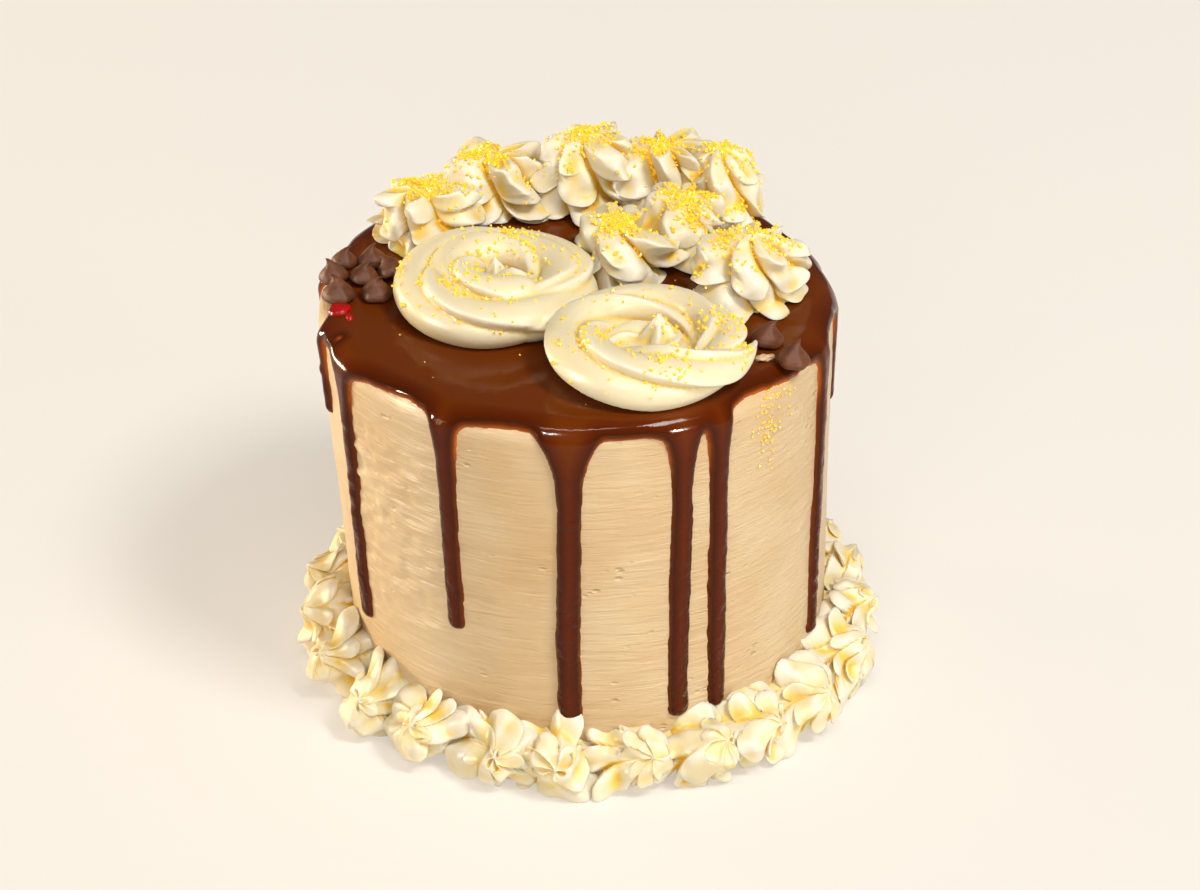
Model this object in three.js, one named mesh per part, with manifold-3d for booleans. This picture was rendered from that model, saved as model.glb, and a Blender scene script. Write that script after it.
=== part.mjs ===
// A round layer cake: smooth frosted wall, chocolate ganache poured over the top
// and running down in drips, piped cream on top, chocolate chips, and a piped
// cream border round the foot.  Millimetres, +Z up, the origin in the middle of
// the cake's underside, -Y to the front.  Angles run from the front, + to the right.
import * as THREE from 'three';
import { mergeVertices } from 'three/addons/utils/BufferGeometryUtils.js';
import Module from 'manifold-3d';

const wasm = await Module();
wasm.setup();

// Cake body
const BODY_HEIGHT = 129;
const BODY_FOOT_R = 74.5;
const BODY_TOP_R = 79.5;
const BODY_CORNER_R = 6;
const BODY_LEAN = -5.5; // the top sits this far off the foot along X
const BODY_COLUMNS = 48;

// Ganache
const GAP = 0.3; // free space between touching pieces
const GANACHE_THICK = 1.7;
const GANACHE_TOP = BODY_HEIGHT + GAP + GANACHE_THICK;
const SLIVER = 0.02; // finest detail kept where solids join
const POOL_COLUMNS = 72;
const POOL_REACH = 5.6; // how far past the flat top the pool runs, along the surface
const DRIP_THICK = 1.6;

// Piped cream
const TOP_PIPING_Z = GANACHE_TOP + GAP;
const ROPE_STEPS = 420;
const SECTION_STEPS = 36;
const BORDER_COUNT = 23;
const BORDER_SIZE = 13.6; // half width of one border star

const TAU = Math.PI * 2;
const DEGREE = Math.PI / 180;

// ---------------------------------------------------------------- helpers

function seeded(seed) {
  let state = seed >>> 0;
  return () => {
    state = (Math.imul(state, 1664525) + 1013904223) >>> 0;
    return state / 4294967296;
  };
}

const mix = (a, b, t) => a + (b - a) * t;

function smooth(a, b, x) {
  const t = Math.min(1, Math.max(0, (x - a) / (b - a)));
  return t * t * (3 - 2 * t);
}

// Eases a value off towards a limit, without ever crossing it.
function easeUnder(value, limit, part = 0.75) {
  const start = limit * part;
  const room = limit - start;
  return value <= start ? value : limit - room * Math.exp((start - value) / room);
}

const lean = (z) => (BODY_LEAN * z) / BODY_HEIGHT;

// A point round the cake's leaning axis.
function around(radius, degrees, z) {
  const angle = degrees * DEGREE;
  return new THREE.Vector3(lean(z) + radius * Math.sin(angle), -radius * Math.cos(angle), z);
}

function wallRadius(z) {
  const straight = BODY_HEIGHT - BODY_CORNER_R;
  return mix(BODY_FOOT_R, BODY_TOP_R, Math.min(z, straight) / straight);
}

// The body's outline from the flat top over the corner and down the wall, as
// [radius, z] at a distance s past the flat top, lifted off the surface.
function outline(s, lift = 0) {
  const flat = BODY_TOP_R - BODY_CORNER_R;
  const turn = Math.min(1, Math.max(0, s / (BODY_CORNER_R * Math.PI / 2))) * Math.PI / 2;
  if (s <= 0) return [flat + s, BODY_HEIGHT + lift];
  const reach = BODY_CORNER_R + lift;
  const centre = BODY_HEIGHT - BODY_CORNER_R;
  if (turn < Math.PI / 2) return [flat + reach * Math.sin(turn), centre + reach * Math.cos(turn)];
  const z = centre - (s - BODY_CORNER_R * Math.PI / 2);
  return [wallRadius(z) + lift, z];
}

const outlineAt = (z) => BODY_CORNER_R * Math.PI / 2 + BODY_HEIGHT - BODY_CORNER_R - z;

// A closed surface over rings of equal length, fanned to a point at each end.
function ringSolid(rings, first, last) {
  const columns = rings[0].length;
  const points = [first, ...rings.flat(), last];
  const faces = [];
  const at = (row, column) => 1 + row * columns + (column % columns);
  for (let c = 0; c < columns; c += 1) {
    faces.push(0, at(0, c + 1), at(0, c));
    faces.push(points.length - 1, at(rings.length - 1, c), at(rings.length - 1, c + 1));
    for (let r = 0; r + 1 < rings.length; r += 1) {
      faces.push(at(r, c), at(r, c + 1), at(r + 1, c + 1));
      faces.push(at(r, c), at(r + 1, c + 1), at(r + 1, c));
    }
  }
  const geometry = new THREE.BufferGeometry();
  const coordinates = points.flatMap((point) => point.toArray());
  geometry.setAttribute('position', new THREE.Float32BufferAttribute(coordinates, 3));
  geometry.setIndex(faces);
  return geometry;
}

// Drops everything but position, so that shared corners become one point.
function weld(geometry) {
  geometry.deleteAttribute('normal');
  geometry.deleteAttribute('uv');
  return mergeVertices(geometry, 1e-4);
}

function toSolid(geometry) {
  const merged = weld(geometry);
  return new wasm.Manifold(new wasm.Mesh({
    numProp: 3,
    vertProperties: new Float32Array(merged.attributes.position.array),
    triVerts: new Uint32Array(merged.index.array),
  }));
}

function toGeometry(solid) {
  const mesh = solid.getMesh();
  const geometry = new THREE.BufferGeometry();
  geometry.setAttribute('position', new THREE.Float32BufferAttribute(mesh.vertProperties, 3));
  geometry.setIndex(new THREE.Uint32BufferAttribute(mesh.triVerts, 1));
  return geometry;
}

// The largest body of a join, without slivers: a hollow that it seals is filled, a loose
// scrap dropped.
function largestBody(solid) {
  const bodies = solid.simplify(SLIVER).decompose();
  return bodies.reduce((most, one) => (one.volume() > most.volume() ? one : most));
}

// ---------------------------------------------------------------- cake body

function cakeBody() {
  const profile = [[0, 0], [BODY_FOOT_R - 1.5, 0], [wallRadius(1.5), 1.5]];
  for (const z of [30, 62, 94]) profile.push([wallRadius(z), z]);
  const cornerSteps = 4;
  for (let i = 0; i <= cornerSteps; i += 1) {
    profile.push(outline(BODY_CORNER_R * (Math.PI / 2) * (1 - i / cornerSteps) + (i ? 0 : 1e-6)));
  }
  profile.push([BODY_TOP_R * 0.5, BODY_HEIGHT], [0, BODY_HEIGHT]);
  const geometry = new THREE.LatheGeometry(profile.map(([r, z]) => new THREE.Vector2(r, z)), BODY_COLUMNS);
  geometry.rotateX(Math.PI / 2);
  const position = geometry.attributes.position;
  for (let i = 0; i < position.count; i += 1) position.setX(i, position.getX(i) + lean(position.getZ(i)));
  return weld(geometry);
}

// ---------------------------------------------------------------- ganache

// Each drip: the angle where it leaves the pool, how far it drifts sideways on
// its way, the height of its tip, and its width at the neck, stem and tip.
const FRONT_DRIPS = [
  { at: -76, drift: 1, tip: 99, neck: 6, stem: 4.5, foot: 4.5 },
  { at: -61.5, drift: -1.5, tip: 33, neck: 10, stem: 6, foot: 6.2 },
  { at: -29.1, drift: -0.8, tip: 50, neck: 10, stem: 6, foot: 6 },
  { at: -1.1, drift: -2.5, tip: 20.5, neck: 17, stem: 7.4, foot: 6.6 },
  { at: 24.1, drift: -2, tip: 21, neck: 12, stem: 6.8, foot: 6.2 },
  { at: 33, drift: -1, tip: 20.6, neck: 9, stem: 6.4, foot: 6.2 },
  { at: 71.2, drift: -3, tip: 25, neck: 9, stem: 6.8, foot: 6 },
];
const BACK_DRIP_COUNT = 9;

function backDrips() {
  const random = seeded(41);
  return Array.from({ length: BACK_DRIP_COUNT }, (_, i) => ({
    at: 96 + (i * 163) / (BACK_DRIP_COUNT - 1) + (random() - 0.5) * 9,
    drift: (random() - 0.5) * 4,
    tip: mix(24, 96, random()),
    neck: mix(8, 13, random()),
    stem: mix(5.6, 7, random()),
    foot: mix(5.6, 6.6, random()),
  }));
}

const DRIPS = [...FRONT_DRIPS, ...backDrips()];
const BARE_RIM_AT = -92; // here the pool stops short of the corner

function poolReach(degrees) {
  const angle = degrees * DEGREE;
  let reach = POOL_REACH + 1.2 * Math.sin(5 * angle + 0.7) + 0.9 * Math.sin(9 * angle - 1.1);
  for (const drip of DRIPS) {
    const off = ((degrees - drip.at + 540) % 360) - 180;
    reach += drip.neck * 0.32 * Math.exp(-((off / 5.5) ** 2));
  }
  const off = ((degrees - BARE_RIM_AT + 540) % 360) - 180;
  return mix(reach, 0.4, Math.exp(-((off / 13) ** 2)));
}

function pool() {
  const rows = [
    { past: -4, lift: 1 }, { share: 0.35, lift: 1 }, { share: 0.7, lift: 1 }, { share: 0.94, lift: 0.7 },
    { share: 1, lift: 0.15 }, { share: 0.8, lift: 0.24 }, { share: 0.56, lift: 0.34 },
    { share: 0.3, lift: 0.25 }, { past: 0, lift: 0.05 },
  ];
  const rings = rows.map((row) => Array.from({ length: POOL_COLUMNS }, (_, c) => {
    const degrees = (c * 360) / POOL_COLUMNS;
    const s = row.past ?? mix(-1.5, poolReach(degrees), row.share);
    const [radius, z] = outline(s, GAP + GANACHE_THICK * row.lift);
    return around(radius, degrees, z);
  }));
  const top = new THREE.Vector3(lean(GANACHE_TOP), 0, GANACHE_TOP);
  const under = new THREE.Vector3(lean(BODY_HEIGHT), 0, BODY_HEIGHT + GAP);
  return ringSolid(rings.reverse(), under, top);
}

function drip({ at, drift, tip, neck, stem, foot }) {
  const startS = 2;
  const endS = outlineAt(tip);
  const across = [-1, -0.6, 0, 0.6, 1, 0];
  const edgeLift = 0.12;
  const down = (t) => mix(startS, endS, t);
  const rows = [
    { s: startS, width: neck * 1.3, thick: 0.25 }, { s: 5, width: neck * 1.2, thick: 0.85 },
    { s: 7.5, width: neck * 1.05, thick: 0.95 }, { s: 10, width: neck * 0.9, thick: 1 },
    { s: Math.max(14, down(0.17)), width: mix(neck, stem, 0.8), thick: 1 },
    { s: down(0.4), width: stem, thick: 0.9 }, { s: down(0.93), width: foot, thick: 1.05 },
    { s: down(0.975), width: foot * 0.8, thick: 1 },
  ];
  const buried = poolReach(at) - 1.5;
  const place = (s, offset, rise) => {
    const [radius, z] = outline(s, GAP + (s < buried ? GANACHE_THICK * 0.35 : 0.4) + rise);
    return around(radius, at + drift * smooth(startS, endS, s) + offset / radius / DEGREE, z);
  };
  const rings = rows.map(({ s, width, thick }) => across.map((u, i) => (
    place(s, (u * width) / 2, i < 5 ? edgeLift + DRIP_THICK * thick * Math.sqrt(1 - u * u) : 0))));
  return ringSolid(rings.reverse(), place(endS, 0, 0.5), place(startS, 0, 0.2));
}

function ganache() {
  let solid = toSolid(pool());
  for (const one of DRIPS) solid = solid.add(toSolid(drip(one)));
  return toGeometry(largestBody(solid));
}

// ---------------------------------------------------------------- piped cream

// Points on a rope of cream with a star section.  The nozzle keeps its heading
// while it circles, so the ridges cross the rope on a slant, once round each turn.
function ropePoints({ thick, turns, start, lobes, depth, path }) {
  const points = [];
  for (let i = 0; i <= ROPE_STEPS; i += 1) {
    const t = i / ROPE_STEPS;
    const angle = start + TAU * turns * t;
    const { radius, z, scale } = path(t);
    for (let j = 0; j < SECTION_STEPS; j += 1) {
      const phi = (TAU * j) / SECTION_STEPS;
      const size = (thick * scale * (1 + depth * Math.cos(lobes * (phi - angle)))) / (1 + depth);
      const reach = radius + size * Math.cos(phi);
      points.push({ angle, reach, z: Math.max(0, z + size * Math.sin(phi)) });
    }
  }
  return points.map(({ angle, reach, z }) => (
    { angle: reach < 0 ? angle + Math.PI : angle, reach: Math.abs(reach), z }));
}

// Widest reach of the rope in each direction at each height.
function widest(points, columns, rows, height) {
  const table = Array.from({ length: rows }, () => new Array(columns).fill(0));
  for (const { angle, reach, z } of points) {
    const column = ((Math.round((angle / TAU) * columns) % columns) + columns) % columns;
    const row = Math.min(rows - 1, Math.round((z / height) * rows));
    table[row][column] = Math.max(table[row][column], reach);
  }
  return table;
}

// Every piped piece on top: place, widest radius, height, and how its peak leans.
const SWIRLS = [
  { name: 'back_left', x: -52, y: 35, radius: 18.5, height: 21, turns: 2.2, start: 0.4, bend: [-2, -2] },
  { name: 'back_mid_left', x: -29, y: 57, radius: 18.5, height: 22, turns: 2.3, start: 2.1, bend: [-3, -2] },
  { name: 'back_centre', x: -1, y: 59, radius: 18.5, height: 28, turns: 3, start: 1.0, bend: [0, -2] },
  { name: 'back_mid_right', x: 24.5, y: 57, radius: 18, height: 27, turns: 2.6, start: 4.2, bend: [-3, -3] },
  { name: 'back_right', x: 39.5, y: 45, radius: 16.5, height: 27, turns: 2.6, start: 5.3, bend: [0, -1] },
  { name: 'right', x: 49, y: -1, radius: 18.5, height: 23, turns: 2.4, start: 3.3, bend: [0, -2] },
  { name: 'middle', x: 8.5, y: 14, radius: 18, height: 20, turns: 2.2, start: 0.2, bend: [0, -1] },
  { name: 'middle_right', x: 28, y: 28, radius: 17.5, height: 21, turns: 2.2, start: 2.6, bend: [1, 0] },
];
const ROSETTES = [
  { name: 'left', x: -29, y: -9, radius: 32, height: 16, turns: 2, start: 2.5, tail: null },
  { name: 'front', x: 16, y: -44, radius: 32, height: 16, turns: 2, start: 4.4, tail: 5 * DEGREE },
];
const PIPED = [...SWIRLS, ...ROSETTES];

// How far a piped piece may reach in a direction before it meets its neighbours.
function room(piece, angle) {
  let limit = Infinity;
  for (const other of PIPED) {
    if (other === piece) continue;
    const dx = other.x - piece.x;
    const dy = other.y - piece.y;
    const apart = Math.hypot(dx, dy);
    const border = (apart * apart + piece.radius ** 2 - other.radius ** 2) / (2 * apart) - GAP;
    const facing = Math.cos(angle - Math.atan2(dy, dx));
    if (facing > 0.05) limit = Math.min(limit, border / facing);
  }
  return limit;
}

const SWIRL_LOBES = 6;
const SWIRL_COLUMNS = 24;
const SWIRL_ROWS = 8;
const SWIRL_SHOULDER = 0.45; // share of the rope laid before the swirl closes in

function swirl(piece) {
  const thick = piece.radius * 0.43;
  const points = ropePoints({
    thick,
    turns: piece.turns,
    start: piece.start,
    lobes: SWIRL_LOBES,
    depth: 0.28,
    path: (t) => {
      const past = Math.max(0, (t - SWIRL_SHOULDER) / (1 - SWIRL_SHOULDER));
      const closing = mix(past, smooth(0, 1, past), 0.35);
      return {
        radius: (piece.radius - thick) * (1 - closing),
        z: mix(thick * 0.7, piece.height, t ** 1.15),
        scale: (1 - t ** 1.6) ** 0.7,
      };
    },
  });
  const table = widest(points, SWIRL_COLUMNS, SWIRL_ROWS, piece.height);
  const rings = table.map((row, r) => row.map((reach, c) => {
    const angle = (TAU * c) / SWIRL_COLUMNS;
    const level = r / SWIRL_ROWS;
    const foot = r === 0 ? 0.9 : 1;
    const size = easeUnder(Math.max(reach * foot, 0.8), room(piece, angle));
    return new THREE.Vector3(
      piece.x + size * Math.cos(angle) + piece.bend[0] * level * level,
      piece.y + size * Math.sin(angle) + piece.bend[1] * level * level,
      TOP_PIPING_Z + level * piece.height,
    );
  }));
  const foot = new THREE.Vector3(piece.x, piece.y, TOP_PIPING_Z);
  const [peakX, peakY] = [piece.x + piece.bend[0], piece.y + piece.bend[1]];
  const peak = new THREE.Vector3(peakX, peakY, TOP_PIPING_Z + piece.height);
  return ringSolid(rings, foot, peak);
}

const ROSETTE_COLUMNS = 34;
const ROSETTE_ROWS = 9;
const TAIL_REACH = 4.5; // how far the pulled-off end sticks out
const TAIL_SPREAD = 0.13; // its half width, in radians round the rosette

function rosette(piece) {
  const thick = piece.height * 0.5;
  const points = ropePoints({
    thick,
    turns: piece.turns,
    start: piece.start,
    lobes: SWIRL_LOBES,
    depth: 0.22,
    path: (t) => ({
      radius: (piece.radius - thick) * (1 - Math.max(0, (t - 0.3) / 0.7)),
      z: thick * 0.85 + 2.6 * t * t,
      scale: 1 - 0.4 * t ** 3,
    }),
  });
  const heights = Array.from({ length: ROSETTE_ROWS }, () => new Array(ROSETTE_COLUMNS).fill(0));
  for (const { angle, reach, z } of points) {
    const column = ((Math.round((angle / TAU) * ROSETTE_COLUMNS) % ROSETTE_COLUMNS) + ROSETTE_COLUMNS)
      % ROSETTE_COLUMNS;
    const row = Math.round((reach / piece.radius) * ROSETTE_ROWS);
    if (row > 0 && row <= ROSETTE_ROWS) heights[row - 1][column] = Math.max(heights[row - 1][column], z);
  }
  const edge = (angle) => {
    if (piece.tail === null) return easeUnder(piece.radius, room(piece, angle), 0.85) / piece.radius;
    const off = Math.atan2(Math.sin(angle - piece.tail), Math.cos(angle - piece.tail));
    const tail = TAIL_REACH * Math.exp(-((off / TAIL_SPREAD) ** 2));
    return easeUnder(piece.radius + tail, room(piece, angle), 0.85) / piece.radius;
  };
  const ring = (radius, height) => Array.from({ length: ROSETTE_COLUMNS }, (_, c) => {
    const angle = (TAU * c) / ROSETTE_COLUMNS;
    const size = radius * edge(angle);
    return new THREE.Vector3(
      piece.x + size * Math.cos(angle), piece.y + size * Math.sin(angle), TOP_PIPING_Z + height(c));
  });
  const rings = [ring(piece.radius * 0.92, () => 0)];
  for (let r = ROSETTE_ROWS; r >= 1; r -= 1) {
    rings.push(ring((piece.radius * r) / ROSETTE_ROWS, (c) => Math.max(heights[r - 1][c], 3.5)));
  }
  const foot = new THREE.Vector3(piece.x, piece.y, TOP_PIPING_Z);
  const peak = new THREE.Vector3(piece.x, piece.y, TOP_PIPING_Z + piece.height + 2);
  return ringSolid(rings, foot, peak);
}

// ---------------------------------------------------------------- cream border

const BORDER_LOBES = 7;
const BORDER_COLUMNS = BORDER_LOBES * 2;

// One star, squeezed out against the foot of the wall and pulled off outwards.
function borderStar(index, random) {
  const heading = ((index + 0.42) * 360) / BORDER_COUNT;
  const shift = mix(-1.2, 1.2, random());
  const size = BORDER_SIZE * mix(0.94, 1.05, random());
  const reach = mix(18.5, 22.5, random());
  const droop = mix(-4, 1, random());
  const sway = mix(-2.5, 4, random());
  const phase = random() * TAU;
  const twist = mix(0.5, 0.9, random());
  const middle = 10.6;
  const half = (Math.PI / BORDER_COUNT) * 0.99;
  const stations = [[0.02, 0.86], [0.2, 1], [0.45, 0.98], [0.7, 0.72], [0.89, 0.36]];
  const place = (t, side, up) => {
    const z = Math.max(0, middle + droop * t * t + up);
    const radial = wallRadius(z) + GAP + 0.5 + reach * t + Math.max(0, z - 17) * 0.42;
    const acrossLimit = radial * Math.tan(half);
    const offset = shift + side + sway * t * t;
    const across = Math.sign(offset) * easeUnder(Math.abs(offset), acrossLimit, 0.82);
    const angle = heading * DEGREE;
    return new THREE.Vector3(
      lean(z) + radial * Math.sin(angle) + across * Math.cos(angle),
      -radial * Math.cos(angle) + across * Math.sin(angle),
      z,
    );
  };
  const rings = stations.map(([t, scale]) => Array.from({ length: BORDER_COLUMNS }, (_, c) => {
    const phi = (TAU * c) / BORDER_COLUMNS + phase + twist * t;
    const lobe = c % 2 === 0 ? 1 : 0.78;
    const spread = size * scale * lobe;
    const drop = spread * Math.sin(phi);
    return place(t, spread * Math.cos(phi), drop < 0 ? -easeUnder(-drop, middle - 0.05, 0.6) : drop);
  }));
  return ringSolid(rings, place(0, 0, 0), place(1, 0, 0));
}

// ---------------------------------------------------------------- chocolate chips

const CHIP_R = 4.9;
const CHIP_HEIGHT = 8.5;
const CHIPS = [
  { x: -78, y: -6.5, scale: 1.02, tilt: 6, towards: 120 },
  { x: -80, y: 5.2, scale: 0.9, tilt: 8, towards: 170 },
  { x: -70.8, y: 4.6, scale: 0.9, tilt: 9, towards: 40 },
  { x: -66, y: -5.2, scale: 0.98, tilt: 4, towards: 100 },
  { x: -68.4, y: 14.6, scale: 0.92, tilt: 10, towards: 160 },
  { x: -62, y: 7.2, scale: 0.9, tilt: 12, towards: 120 },
  { x: -77.4, y: 15, scale: 0.8, tilt: 6, towards: 60 },
  { x: 52.8, y: -31, scale: 1, tilt: 8, towards: 20 },
  { x: 60.2, y: -42.8, scale: 1, tilt: 7, towards: 340 },
];

function chip({ x, y, scale, tilt, towards }) {
  const profile = [
    [0, 0], [0.85, 0], [1, 0.17], [0.9, 0.4], [0.58, 0.62], [0.27, 0.8], [0.12, 0.95], [0, 1],
  ].map(([r, z]) => new THREE.Vector2(r * CHIP_R * scale, z * CHIP_HEIGHT * scale));
  const geometry = new THREE.LatheGeometry(profile, 10);
  geometry.rotateX(Math.PI / 2);
  const lift = Math.sin(tilt * DEGREE) * CHIP_R * scale;
  const axis = new THREE.Vector3(-Math.sin(towards * DEGREE), Math.cos(towards * DEGREE), 0);
  geometry.applyMatrix4(new THREE.Matrix4().makeRotationAxis(axis, tilt * DEGREE));
  geometry.translate(x, y, GANACHE_TOP + GAP + lift);
  return weld(geometry);
}

// ---------------------------------------------------------------- the cake

const group = new THREE.Group();
const frosting = new THREE.MeshStandardMaterial({ color: '#ecd3a6', roughness: 0.5 });
const chocolate = new THREE.MeshStandardMaterial({ color: '#6b2f12', roughness: 0.18 });
const cream = new THREE.MeshStandardMaterial({ color: '#fff3d2', roughness: 0.45 });
const chipChocolate = new THREE.MeshStandardMaterial({ color: '#6b4536', roughness: 0.6 });

function addPiece(name, geometry, material) {
  const mesh = new THREE.Mesh(geometry, material);
  mesh.name = name;
  group.add(mesh);
}

addPiece('cake_body', cakeBody(), frosting);
addPiece('ganache', ganache(), chocolate);
for (const piece of SWIRLS) addPiece(`swirl_${piece.name}`, swirl(piece), cream);
for (const piece of ROSETTES) addPiece(`rosette_${piece.name}`, rosette(piece), cream);
const borderRandom = seeded(7);
for (let i = 0; i < BORDER_COUNT; i += 1) {
  addPiece(`border_star_${String(i + 1).padStart(2, '0')}`, borderStar(i, borderRandom), cream);
}
CHIPS.forEach((one, i) => addPiece(`chip_${i + 1}`, chip(one), chipChocolate));

export default group;
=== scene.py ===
"""Looks for the chocolate drip cake: frosting, ganache, piped cream, chips and gold sugar.

Shapes are worked out in millimetres in the solids' own frame, and become metres when a mesh is
made. A place on the outside of the cake is given by an angle in degrees, counted from the front
towards the right, and by s, the distance in millimetres past the edge of the flat top.
"""
import math
import random

import bpy
import numpy as np
from mathutils import Matrix, Vector


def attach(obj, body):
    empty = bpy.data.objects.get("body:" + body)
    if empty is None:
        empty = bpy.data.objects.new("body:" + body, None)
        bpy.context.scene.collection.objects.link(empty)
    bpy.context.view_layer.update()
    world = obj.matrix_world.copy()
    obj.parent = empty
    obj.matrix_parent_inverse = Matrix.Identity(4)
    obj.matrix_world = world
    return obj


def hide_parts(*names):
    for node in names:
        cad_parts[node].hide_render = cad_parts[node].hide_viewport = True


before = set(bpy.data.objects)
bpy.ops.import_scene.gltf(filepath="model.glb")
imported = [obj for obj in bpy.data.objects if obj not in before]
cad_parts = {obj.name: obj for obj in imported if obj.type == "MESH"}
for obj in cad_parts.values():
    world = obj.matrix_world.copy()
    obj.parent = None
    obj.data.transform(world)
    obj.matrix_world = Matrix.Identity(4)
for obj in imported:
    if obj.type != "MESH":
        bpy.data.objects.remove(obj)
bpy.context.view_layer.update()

MM = 0.001
TAU = 2 * math.pi

# -------- colours, linear
FROSTING_DARK = (0.60, 0.405, 0.195)
FROSTING_LIGHT = (0.68, 0.515, 0.31)
FROSTING_STREAK = (0.95, 0.92, 0.86)
# Ganache by its thickness: caramel at the very rim, then dark, then milk chocolate.
GANACHE_STOPS = [(0.0, (0.50, 0.13, 0.008)), (0.04, (0.30, 0.06, 0.004)), (0.1, (0.13, 0.024, 0.002)),
                 (0.22, (0.055, 0.010, 0.001)), (0.5, (0.095, 0.0135, 0.0008)),
                 (1.0, (0.135, 0.026, 0.0014))]
GANACHE_CLOUD = (0.85, 0.8, 0.74)
# Cream by its hollows, with painted shade: pale on a ridge, shaded yellow at the bottom of a groove.
CREAM_GROOVE_SHADE_STOPS = [(0.0, (0.785, 0.725, 0.585)), (0.3, (0.785, 0.67, 0.39)), (0.56, (0.79, 0.57, 0.12)),
               (0.85, (0.79, 0.43, 0.03))]
CREAM_CLOUD = (0.99, 0.965, 0.9)
CHIP_DARK = (0.085, 0.023, 0.008)
CHIP_LIGHT = (0.165, 0.057, 0.024)
SUGAR_DARK = (1.0, 0.56, 0.015)
SUGAR_LIGHT = (1.0, 0.74, 0.08)
# Painted light: the sugar glows a little, so its shaded sides stay bright.
SUGAR_PAINTED_GLOW = (1.0, 0.58, 0.02)
JELLY_DARK = (0.20, 0.001, 0.001)
JELLY_LIGHT = (0.42, 0.004, 0.003)
FLOOR_NEAR = (0.44, 0.415, 0.38)
FLOOR_FAR = (0.55, 0.525, 0.485)
FLOOR_GLOW = (1.0, 0.935, 0.84)

# -------- sizes, in millimetres
BODY_HEIGHT = 129.0
BODY_FOOT_R = 74.5
BODY_TOP_R = 79.5
CORNER_R = 6.0
BODY_LEAN = -5.5  # the top sits this far off the foot along X
GANACHE_TOP = 131.0
PIPING_Z = 131.1
CORNER_S = CORNER_R * math.pi / 2  # s where the wall begins
FOOT_S = CORNER_S + BODY_HEIGHT - CORNER_R  # s at the foot of the wall

# The small swirls: the middle of the foot, the radius, the height and how far the tip leans.
SWIRLS = {
    "swirl_back_left": dict(x=-52, y=35, radius=18.5, height=21, lean=(-2, -2)),
    "swirl_back_mid_left": dict(x=-29, y=57, radius=18.5, height=22, lean=(-3, -2)),
    "swirl_back_centre": dict(x=-1, y=59, radius=18.5, height=28, lean=(0, -2)),
    "swirl_back_mid_right": dict(x=24.5, y=57, radius=18, height=27, lean=(-3, -3)),
    "swirl_back_right": dict(x=39.5, y=45, radius=16.5, height=27, lean=(0, -1)),
    "swirl_right": dict(x=49, y=-1, radius=18.5, height=23, lean=(0, -2)),
    "swirl_middle": dict(x=8.5, y=14, radius=18, height=20, lean=(0, -1)),
    "swirl_middle_right": dict(x=28, y=28, radius=17.5, height=21, lean=(1, 0)),
}
# The rosettes: each rope by the turns travelled so far (laps), with its distance from the middle
# (path), its own radius (rope) and the height of its middle (rise), and the angle of its end.
ROSETTES = {
    "rosette_left": dict(
        x=-29, y=-9, radius=32.5,
        ropes=[dict(end=-30, phase=1.4, lobes=3, depth=0.36, laps=[0, 0.12, 1.0, 1.35, 1.7, 2.14, 2.2],
                    path=[22.5, 22.8, 23, 17.5, 13.5, 12, 12], rope=[4, 9.2, 9.4, 9.2, 9, 8.6, 3],
                    rise=[6.4, 6.4, 6.6, 8.4, 10, 10.8, 11])],
        peak=dict(low=2, high=17, wide=7, at=(0, 0))),
    "rosette_front": dict(
        x=16, y=-44, radius=32,
        ropes=[dict(end=6, phase=2.75, lobes=4, depth=0.38,
                    laps=[0, 0.1, 0.35, 0.5, 0.75, 0.95, 1.05, 1.16],
                    path=[23, 23, 23.4, 22.8, 20.8, 21, 25, 33.5],
                    rope=[6, 8.8, 8, 8.6, 11.2, 11.2, 8, 0.4],
                    rise=[5.6, 6.6, 6.6, 6.8, 7.6, 7.6, 7.2, 6.5]),
               dict(end=170, phase=0.5, lobes=4, depth=0.4, laps=[0, 0.2, 0.7, 0.86],
                    path=[4, 8, 9, 11], rope=[3.5, 5, 5.4, 3], rise=[4, 4.4, 5, 5])],
        peak=dict(low=1, high=15.5, wide=8, at=(4.5, 4.5))),
}
# The chips: the middle of the foot, the size, the tilt and its direction in degrees, and the
# direction in radians in which the tip curls.
CHIP_R = 5.1
CHIP_HEIGHT = 8.5
CHIPS = [
    dict(x=-78, y=-6.5, scale=1.02, tilt=6, towards=120, curl=2.6),
    dict(x=-80, y=5.2, scale=0.9, tilt=8, towards=170, curl=2.4),
    dict(x=-70.8, y=4.6, scale=0.9, tilt=9, towards=40, curl=-0.3),
    dict(x=-66.4, y=-5.2, scale=0.98, tilt=4, towards=100, curl=-0.6),
    dict(x=-68.4, y=14.6, scale=0.92, tilt=10, towards=160, curl=0.2),
    dict(x=-62, y=7.2, scale=0.9, tilt=26, towards=150, curl=2.9),
    dict(x=-77.4, y=15, scale=0.8, tilt=6, towards=60, curl=0.4),
    dict(x=52.8, y=-31, scale=1, tilt=8, towards=20, curl=0.1),
    dict(x=60.2, y=-42.8, scale=1, tilt=7, towards=340, curl=0.9),
]
BORDER_COUNT = 23
# Each drip: the angle where it leaves the pool, how far it drifts sideways on its way in
# degrees, the height of its tip, and its width at the neck, stem and tip.
FRONT_DRIPS = [
    dict(at=-76, drift=1, tip=99, neck=6, stem=4.5, foot=4.5),
    dict(at=-61.5, drift=-1.5, tip=33, neck=10, stem=6, foot=6.2),
    dict(at=-29.1, drift=-0.8, tip=50, neck=10, stem=6, foot=6),
    dict(at=-1.1, drift=-2.5, tip=20.5, neck=17, stem=7.4, foot=6.6),
    dict(at=24.1, drift=-2, tip=21, neck=12, stem=6.8, foot=6.2),
    dict(at=33, drift=-1, tip=20.6, neck=9, stem=6.4, foot=6.2),
    dict(at=71.2, drift=-3, tip=25, neck=9, stem=6.8, foot=6),
]
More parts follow.
